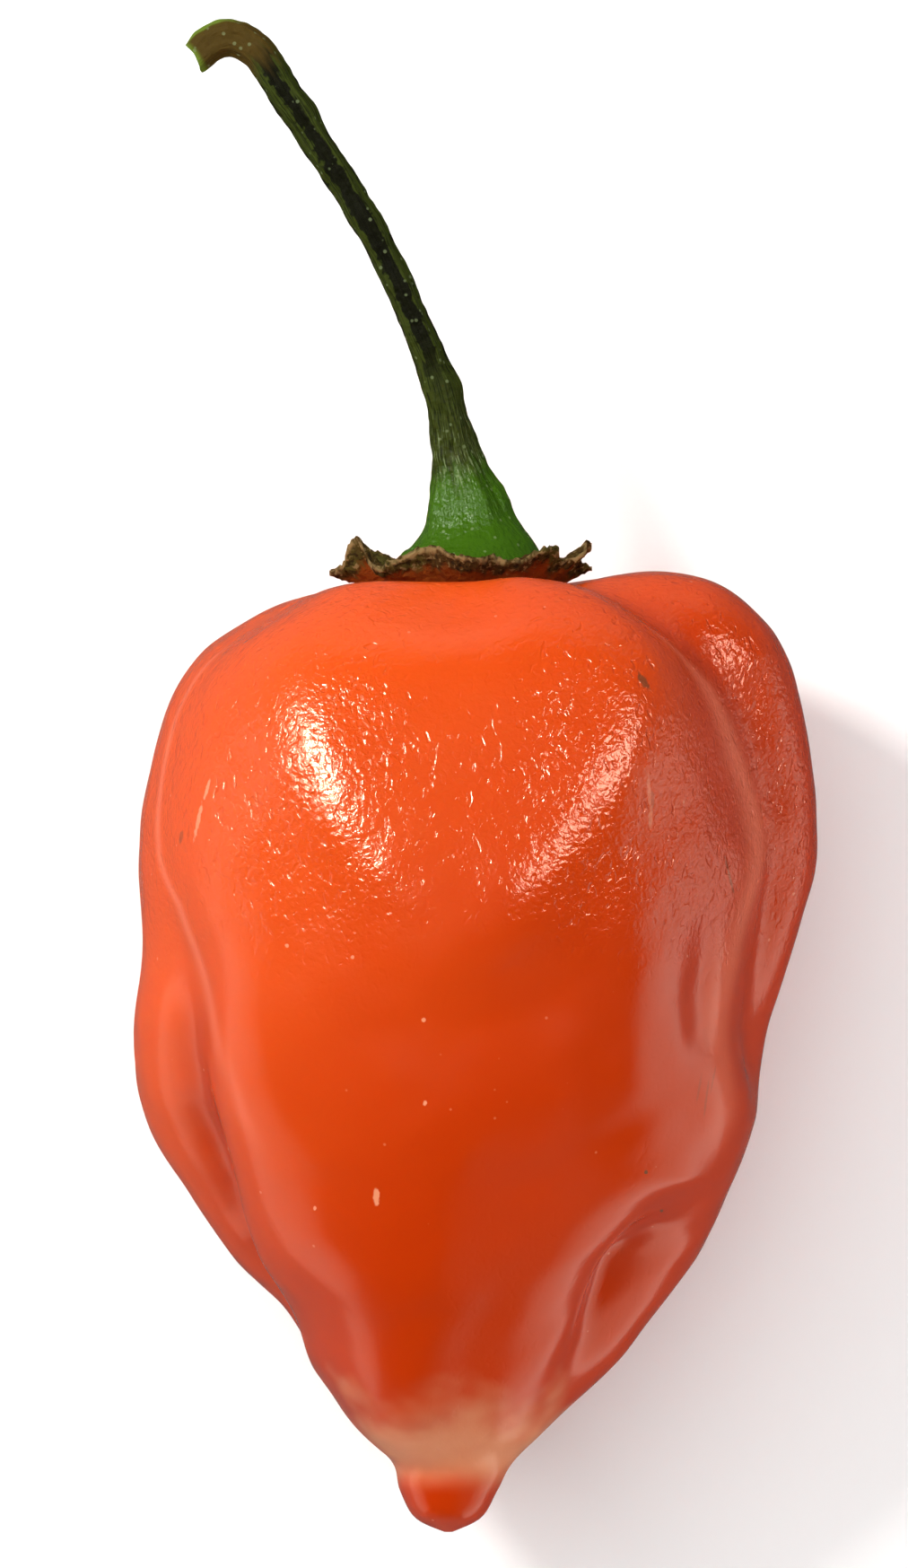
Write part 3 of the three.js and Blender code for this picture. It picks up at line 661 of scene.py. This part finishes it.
class MeshMaker:
    """Makes closed meshes from rings of points."""

    @staticmethod
    def closed(name: str, first: np.ndarray, rings: np.ndarray, last: np.ndarray,
               values: dict[str, np.ndarray] | None = None) -> bpy.types.Object:
        """Makes a closed mesh object: a first point, rings of equally many points, and a last point.

        Args:
            name: The object's name.
            first: The first point, in millimetres.
            rings: Points by ring and place round the ring, in millimetres, that face out along this order.
            last: The last point.
            values: Values for the material, by name, one or three for each point of the rings.

        Returns:
            The new object.
        """
        count, around = rings.shape[:2]
        points = np.vstack([first[None], rings.reshape(-1, 3), last[None]]) * MM
        start = 1 + np.arange(count * around).reshape(count, around)
        turn = np.roll(start, -1, axis=1)
        sides = np.stack([start[:-1], start[1:], turn[1:], turn[:-1]], axis=-1).reshape(-1, 4)
        end = 1 + count * around
        faces = [(0, int(a), int(b)) for a, b in zip(start[0], turn[0])]
        faces += sides.tolist()
        faces += [(end, int(b), int(a)) for a, b in zip(start[-1], turn[-1])]
        mesh = bpy.data.meshes.new(name)
        mesh.from_pydata(points.tolist(), [], faces)
        mesh.polygons.foreach_set("use_smooth", [True] * len(mesh.polygons))
        for key, value in (values or {}).items():
            MeshMaker.hold(mesh, key, value)
        mesh.update()
        made = bpy.data.objects.new(name, mesh)
        bpy.context.scene.collection.objects.link(made)
        return made

    @staticmethod
    def hold(mesh: bpy.types.Mesh, name: str, value: np.ndarray) -> None:
        """Keeps a value at each point of the mesh, with the two ends taking their ring's mean.

        Args:
            mesh: The mesh.
            name: What the material calls the value.
            value: One number or three for each point of each ring.
        """
        vector = value.ndim == 3
        ends = [np.atleast_1d(ring.mean(axis=0)) for ring in (value[0], value[-1])]
        flat = np.concatenate([ends[0], value.ravel(), ends[1]])
        layer = mesh.attributes.new(name, "FLOAT_VECTOR" if vector else "FLOAT", "POINT")
        layer.data.foreach_set("vector" if vector else "value", flat.astype(np.float32))


def dress(piece: bpy.types.Object, finish: object, node: str) -> bpy.types.Object:
    """Gives a piece its material and its place in the frame.

    Args:
        piece: The piece.
        finish: The finish that builds its material.
        node: The solid that it stands for.

    Returns:
        The piece.
    """
    piece.data.materials.append(finish.build())
    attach(piece, "root")
    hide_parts(node)
    LOG.info("%s: %d faces, replaces %s", piece.name, len(piece.data.polygons), node)
    return piece


@dataclass
class Fruit:
    """The three-lobed berry with its folds."""

    shoulder_y: float = 11.1
    axis_x_top: float = -0.75
    axis_x_tip: float = -1.55
    axis_drop: float = 2.4
    section_power: float = 2.25
    around: int = 384
    ring_count: int = 244
    derivative_step: float = 0.02
    ripples: tuple[Ripple, ...] = (Ripple(9.0, 0.055, 3), Ripple(3.2, 0.016, 5))

    def __post_init__(self) -> None:
        """Works out the skin, and the height of the fruit's axis from the solid's top."""
        self.bearings = 2 * math.pi * np.arange(self.around) / self.around
        self.stations = self.even_stations()
        self.rings, self.pressed, self.painted_highlight = self.skin()
        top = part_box("fruit")[1][2] / MM
        self.axis_height = top - self.rings[..., 2].max()

    def even_stations(self) -> np.ndarray:
        """Gives stations that are evenly far apart along the skin."""
        fine = np.linspace(0, LAST_STATION, 600)
        outlines = np.array([[row_at(OUTLINES[side], place) for place in fine] for side in Side])
        steps = np.linalg.norm(np.diff(outlines, axis=1), axis=2).mean(axis=0)
        length = np.concatenate([[0], np.cumsum(steps)])
        wanted = np.linspace(0, length[-1], self.ring_count + 2)[1:-1]
        return np.interp(wanted, length, fine)

    def smooth_skin(self, station: float) -> tuple[np.ndarray, np.ndarray]:
        """Gives the distance out and down at each bearing before the folds."""
        across = np.cos(self.bearings)
        upward = np.sin(self.bearings)
        place = min(max(station, 0.0), float(LAST_STATION))
        right, up, left, table = (row_at(OUTLINES[side], place) for side in Side)
        side_out = np.where(across >= 0, right[0], left[0])
        face_out = np.where(upward >= 0, up[0], table[0])
        side_down = np.where(across >= 0, right[1], left[1])
        face_down = np.where(upward >= 0, up[1], table[1])
        down = across**2 * side_down + (1 - across**2) * face_down
        side_out = np.maximum(side_out, 1e-9)
        face_out = np.maximum(face_out, 1e-9)
        power = self.section_power
        total = (np.abs(across) / side_out) ** power + (np.abs(upward) / face_out) ** power
        return total ** (-1 / power), down

    def fold_depth(self, station: float, out: np.ndarray, folds: tuple[Fold, ...]) -> np.ndarray:
        """Gives how deep the folds press the skin at each bearing."""
        depth = np.zeros(self.around)
        for fold in folds:
            places = [point[0] for point in fold.points]
            if not places[0] < station < places[-1]:
                continue
            _, degrees, deep, reach_low, reach_high = row_at(fold.points, station, places)
            turn = self.bearings - math.radians(degrees)
            turn = np.arctan2(np.sin(turn), np.cos(turn))
            reaches = turn * out / np.where(turn < 0, reach_low, reach_high)
            if fold.form is FoldForm.SHARP:
                depth += deep * np.exp(1 - np.hypot(1, 2 * reaches))
            else:
                depth += deep * np.exp(-reaches * reaches)
        return depth

    def skin(self) -> tuple[np.ndarray, np.ndarray, np.ndarray]:
        """Works out the rings of the skin.

        Returns:
            The points by ring and bearing, with heights over the axis, how far each is pressed in, and how
            much painted highlight each has.
        """
        rings = []
        depths = []
        painted_highlights = []
        for station in self.stations:
            out, down = self.smooth_skin(station)
            out_before, down_before = self.smooth_skin(station - self.derivative_step)
            out_after, down_after = self.smooth_skin(station + self.derivative_step)
            run = np.hypot(out_after - out_before, down_after - down_before)
            depth = self.fold_depth(station, out, MAIN_FOLDS) + self.fold_depth(station, out, FINE_FOLDS)
            painted_highlights.append(self.fold_depth(station, out, PAINTED_HIGHLIGHT_LINES))
            out = out - depth * (down_after - down_before) / run
            down = down + depth * (out_after - out_before) / run
            rings.append(self.place(out, down))
            depths.append(depth)
        return np.array(rings), np.array(depths), np.array(painted_highlights)

    def place(self, out: np.ndarray, down: np.ndarray) -> np.ndarray:
        """Turns distances out and down into points, with heights over the axis."""
        along = down / FRUIT_LENGTH
        x = self.axis_x_top + (self.axis_x_tip - self.axis_x_top) * along + out * np.cos(self.bearings)
        z = -self.axis_drop * along + out * np.sin(self.bearings)
        return np.stack([x, self.shoulder_y - down, z], axis=-1)

    def uneven(self, rings: np.ndarray) -> np.ndarray:
        """Moves the skin in and out by the ripples, along its own normal."""
        along = np.gradient(rings, axis=0)
        around = np.roll(rings, -1, axis=1) - np.roll(rings, 1, axis=1)
        normal = np.cross(along, around)
        normal /= np.linalg.norm(normal, axis=2, keepdims=True) + 1e-12
        flat = rings.reshape(-1, 3)
        height = sum(ripple.at(flat) for ripple in self.ripples).reshape(rings.shape[:2])
        return rings + normal * height[..., None]

    def build(self) -> bpy.types.Object:
        """Makes the fruit."""
        rings = self.uneven(self.rings)
        rings[..., 2] += self.axis_height
        rings[..., 2] = np.maximum(rings[..., 2], 0.0)
        along = (self.shoulder_y - rings[..., 1]) / FRUIT_LENGTH
        values = {"along": along[::-1], "pressed": self.pressed[::-1], "painted_highlight": self.painted_highlight[::-1]}
        tip = rings[-1].mean(axis=0)
        top = rings[0].mean(axis=0)
        piece = MeshMaker.closed("fruit_skin", tip, rings[::-1], top, values)
        return dress(piece, SkinFinish(), "fruit")


@dataclass
class Calyx:
    """The dried ragged saucer between the fruit and the stalk."""

    fruit: Fruit
    radius: float = 6.2
    foot: float = 4.0
    sheet: float = 0.65
    middle: float = 1.5
    lift: float = 1.25
    flare: float = 1.15
    shoulder_dip: float = 1.15
    first_share: float = 0.03
    rim_waves: int = 9
    rim_wave: float = 0.18
    curl_waves: int = 7
    curl_wave: float = 0.16
    curl_turn: float = 40.0
    edge_thinning: float = 0.6
    collar: float = 3.2
    around: int = 420
    shares: int = 44
    wrinkle: Ripple = Ripple(1.5, 0.05, 11)
    ragged: Ripple = Ripple(0.9, 0.10, 12)
    crumbs: Ripple = Ripple(0.42, 0.06, 13, 60)

    def face(self, upper: bool) -> tuple[np.ndarray, np.ndarray]:
        """Works out one face of the saucer.

        Args:
            upper: Whether it is the face towards the stalk.

        Returns:
            Its points by share of the way to the rim and by bearing, and that share for each point.
        """
        degrees = 360 * np.arange(self.around) / self.around
        angle = np.radians(degrees)
        circle = np.stack([np.cos(angle), np.zeros_like(angle), np.sin(angle)], axis=-1) * self.radius
        reach = self.radius + self.rim_wave * np.sin(self.rim_waves * angle) + self.ragged.at(circle)
        curl = self.lift + self.curl_wave * np.sin(self.curl_waves * angle + math.radians(self.curl_turn))
        for centre, past, up, half_width in CALYX_POINTS:
            turn = (degrees - centre + 180) % 360 - 180
            here = np.exp(-((turn / half_width) ** 2))
            reach = reach + past * here
            curl = curl + up * here
        share = np.linspace(self.first_share, 1, self.shares)[:, None]
        out = share * reach
        flare = np.clip((out - self.foot) / (reach - self.foot), 0, 1)
        thick = self.sheet * (1 - self.edge_thinning * smooth_step(share, 0.85, 1.0))
        swell = (self.middle - self.sheet) * (1 - smooth_step(out, self.collar, self.foot + 0.6))
        rise = thick + swell if upper else 0.0
        seat = self.fruit.shoulder_y - self.shoulder_dip
        y = seat + curl * flare**self.flare + rise
        x = self.fruit.axis_x_top + out * np.cos(angle)
        z = self.fruit.axis_height + out * np.sin(angle)
        points = np.stack([x, y, z], axis=-1)
        wrinkles = self.wrinkle.at(points.reshape(-1, 3)).reshape(out.shape) * smooth_step(share, 0.5, 0.8)
        crumbs = self.crumbs.at(points.reshape(-1, 3)).reshape(out.shape) * smooth_step(share, 0.78, 0.9)
        points[..., 1] += wrinkles + crumbs
        return points, np.broadcast_to(share, out.shape)

    def build(self) -> bpy.types.Object:
        """Makes the calyx."""
        lower, share = self.face(False)
        upper, _ = self.face(True)
        rings = np.concatenate([lower, upper[::-1]])
        values = {
            "rim": np.concatenate([share, share[::-1]]),
            "under": np.concatenate([np.ones_like(share), np.zeros_like(share)]),
        }
        under, over = lower[0].mean(axis=0), upper[0].mean(axis=0)
        piece = MeshMaker.closed("calyx_saucer", under, rings, over, values)
        return dress(piece, CalyxFinish(), "calyx")


@dataclass
class Stalk:
    """The ribbed stalk with its torn hook."""

    fruit: Fruit
    ribs: int = 5
    rib_height: float = 0.09
    bands: int = 3
    fine_ribs: int = 17
    fine_rib_height: float = 0.022
    notch: float = 0.3
    skew: float = 0.15
    around: int = 96
    ring_count: int = 420
    sink: float = 1.2
    length: float = 29.0
    end_dent: float = 0.3
    # How wide the grain is round the stalk, and how much it is drawn out along it.
    grain_width: float = 1.6
    grain_stretch: float = 0.12
    knots: Ripple = Ripple(2.2, 0.045, 21)
    bark: Ripple = Ripple(0.7, 0.014, 22)

    def build(self) -> bpy.types.Object:
        """Makes the stalk."""
        places = np.linspace(0, len(STALK_LINE) - 1, self.ring_count)
        line = np.array([row_at(STALK_LINE, place) for place in places])
        middles = line[:, :3] + np.array([0, 0, self.fruit.axis_height])
        middles[0, 1] -= self.sink
        tangents = np.gradient(line[:, :3], axis=0)
        tangents /= np.linalg.norm(tangents, axis=1, keepdims=True)
        above = np.array([0, 0, 1.0]) - tangents * tangents[:, 2:]
        above /= np.linalg.norm(above, axis=1, keepdims=True)
        across = np.cross(tangents, above)
        share = (places / places[-1])[:, None]
        angle = 2 * math.pi * np.arange(self.around) / self.around
        ribbed = smooth_step(share, 0.04, 0.2)
        radius = line[:, 3:] * (
            1 + self.rib_height * ribbed * np.cos(self.ribs * angle + 2 * share)
            + self.fine_rib_height * ribbed * np.cos(self.fine_ribs * angle + 5 * share)
        )
        torn = smooth_step(share, 0.94, 1) * (self.notch * np.cos(angle) ** 2 - self.skew * np.cos(angle))
        points = (
            middles[:, None]
            + across[:, None] * (radius * np.cos(angle))[..., None]
            + above[:, None] * (radius * np.sin(angle))[..., None]
            + tangents[:, None] * torn[..., None]
        )
        outward = points - middles[:, None]
        outward /= np.linalg.norm(outward, axis=2, keepdims=True)
        flat = points.reshape(-1, 3)
        height = (self.knots.at(flat) + self.bark.at(flat)).reshape(radius.shape)
        points += outward * height[..., None]
        length = np.broadcast_to(share * self.length, radius.shape)
        turned = np.broadcast_to(angle, radius.shape)
        ring = [np.cos(turned) * self.grain_width, np.sin(turned) * self.grain_width]
        lengthways = np.stack([*ring, length * self.grain_stretch], axis=-1)
        beak = smooth_step(share, 0.8, 0.9) * smooth_step(np.cos(angle), 0.45, 0.9)
        edge = np.maximum(smooth_step(share, 0.955, 1.0), beak)
        band = np.broadcast_to(np.cos(self.bands * (angle - math.pi / 2)), radius.shape)
        along = np.broadcast_to(share, radius.shape)
        values = {"along": along, "lengthways": lengthways, "edge": edge, "band": band}
        end = middles[-1] - tangents[-1] * self.end_dent
        piece = MeshMaker.closed("stalk_rod", middles[0], points, end, values)
        return dress(piece, StalkFinish(), "stalk")


@dataclass(frozen=True)
class Lamp:
    """A soft rectangular lamp that looks at the fruit.

    The bearing is its direction on the table in degrees from +X, and rise its angle over the table. Away is
    its distance, length its side that points up, and width its level side, in metres.
    """

    name: str
    bearing: float
    rise: float
    away: float
    length: float
    width: float
    watts: float
    colour: Colour = (1.0, 1.0, 1.0)
    role: LampRole = LampRole.LIGHTS


# The colour of the light off the room's walls.
WALL_LIGHT: Colour = (1.0, 0.95, 0.86)


@dataclass
class Studio:
    """The table, the lights, the surroundings and the camera."""

    # The photograph's middle and the length of its long side, on the plane of the fruit's axis.
    view_x: float = -1.26
    view_y: float = -0.36
    view_length: float = 84.5
    view_height: float = 16.0
    distance: float = 0.75
    film: float = 36.0
    floor_size: float = 4.0
    room_colour: Colour = (1.0, 0.97, 0.93)
    # How bright the room is along an axis: two places on it, and the brightness at each.
    room: tuple[tuple[str, Row], ...] = (
        ("Z", (-0.95, -0.3, 0.25, 1.0)), ("Z", (-0.1, 0.35, 0.8, 0.06)), ("X", (-0.5, 0.6, 1.1, 0.6)),
    )
    lamps: tuple[Lamp, ...] = (
        Lamp("key", 140, 48, 0.45, 0.075, 0.075, 1.4, (1.0, 0.98, 0.94)),
        Lamp("fill", 38, 50, 0.5, 0.13, 0.13, 0.15, (0.98, 0.99, 1.0)),
        Lamp("overhead", 120, 78, 0.7, 0.9, 0.9, 4.7),
        Lamp("side", -60, 24, 0.6, 0.3, 0.3, 1.1),
        Lamp("window", 154, 50, 0.45, 0.2, 0.13, 15.0, (1.0, 0.99, 0.93), LampRole.SHOWS_IN_GLOSS),
        Lamp("curtain", 158, 45, 0.47, 0.38, 0.24, 9.0, (1.0, 0.98, 0.95), LampRole.SHOWS_IN_GLOSS),
        Lamp("far window", 14, 50, 0.5, 0.36, 0.2, 11.0, (1.0, 0.98, 0.96), LampRole.SHOWS_IN_GLOSS),
        Lamp("right wall", -32, -5, 0.6, 0.48, 0.9, 2.6, WALL_LIGHT, LampRole.SHOWS_IN_GLOSS),
        Lamp("right wall low down", -32, -8, 0.59, 0.36, 0.86, 1.7, WALL_LIGHT, LampRole.SHOWS_IN_GLOSS),
        Lamp("left wall", 200, 1, 0.6, 0.34, 0.8, 2.6, WALL_LIGHT, LampRole.SHOWS_IN_GLOSS),
        Lamp("back wall", 85, 4, 0.6, 0.3, 0.8, 1.2, WALL_LIGHT, LampRole.SHOWS_IN_GLOSS),
    )

    def floor(self) -> None:
        """Makes the table."""
        half = self.floor_size / 2
        mesh = bpy.data.meshes.new("table")
        corners = [(-half, -half, 0), (half, -half, 0), (half, half, 0), (-half, half, 0)]
        mesh.from_pydata(corners, [], [(0, 1, 2, 3)])
        table = bpy.data.objects.new("table", mesh)
        bpy.context.scene.collection.objects.link(table)
        mesh.materials.append(FloorFinish().build())
        table.visible_glossy = False

    def hang(self, lamp: Lamp) -> None:
        """Hangs a lamp where it looks at the fruit."""
        data = bpy.data.lights.new(lamp.name, "AREA")
        data.shape = "RECTANGLE"
        data.size = lamp.length
        data.size_y = lamp.width
        data.energy = lamp.watts
        data.color = lamp.colour
        holder = bpy.data.objects.new(lamp.name, data)
        turn = math.radians(lamp.bearing)
        tilt = math.radians(lamp.rise)
        flat = lamp.away * math.cos(tilt)
        holder.location = (flat * math.cos(turn), flat * math.sin(turn), lamp.away * math.sin(tilt))
        holder.rotation_euler = (0, math.pi / 2 - tilt, turn)
        holder.visible_glossy = lamp.role is LampRole.SHOWS_IN_GLOSS
        holder.visible_diffuse = lamp.role is LampRole.LIGHTS
        bpy.context.scene.collection.objects.link(holder)

    def world(self) -> None:
        """Surrounds the table with a room that is dim overhead, and brighter low down and on the left."""
        world = bpy.data.worlds.new("pale room")
        world.use_nodes = True
        tree = world.node_tree
        tree.nodes.clear()
        direction = tree.nodes.new("ShaderNodeTexCoord")
        split = tree.nodes.new("ShaderNodeSeparateXYZ")
        background = tree.nodes.new("ShaderNodeBackground")
        output = tree.nodes.new("ShaderNodeOutputWorld")
        tree.links.new(direction.outputs["Generated"], split.inputs[0])
        strength = None
        for axis, ends in self.room:
            ramp = tree.nodes.new("ShaderNodeMapRange")
            ramp.interpolation_type = "SMOOTHSTEP"
            for key, value in zip(("From Min", "From Max", "To Min", "To Max"), ends):
                ramp.inputs[key].default_value = value
            tree.links.new(split.outputs[axis], ramp.inputs["Value"])
            if strength is None:
                strength = ramp.outputs[0]
                continue
            product = tree.nodes.new("ShaderNodeMath")
            product.operation = "MULTIPLY"
            tree.links.new(strength, product.inputs[0])
            tree.links.new(ramp.outputs[0], product.inputs[1])
            strength = product.outputs[0]
        background.inputs["Color"].default_value = as_rgba(self.room_colour)
        tree.links.new(strength, background.inputs["Strength"])
        tree.links.new(background.outputs[0], output.inputs["Surface"])
        bpy.context.scene.world = world

    def camera(self) -> None:
        """Puts the camera straight above, with the photograph's framing."""
        data = bpy.data.cameras.new("camera")
        data.sensor_width = self.film
        data.lens = self.film * self.distance / (self.view_length * MM)
        data.clip_start = 0.01
        camera = bpy.data.objects.new("camera", data)
        camera.location = (self.view_x * MM, self.view_y * MM, self.view_height * MM + self.distance)
        bpy.context.scene.collection.objects.link(camera)
        bpy.context.scene.camera = camera

    def build(self) -> None:
        """Sets up everything round the chilli."""
        self.camera()
        self.floor()
        self.world()
        for lamp in self.lamps:
            self.hang(lamp)
        bpy.context.scene.view_settings.view_transform = "Standard"


def main() -> None:
    """Builds the chilli and its surroundings."""
    logging.basicConfig(level=logging.INFO, format="%(name)s: %(message)s")
    Studio().build()
    fruit = Fruit()
    fruit.build()
    Calyx(fruit).build()
    Stalk(fruit).build()


if __name__ == "__main__":
    main()
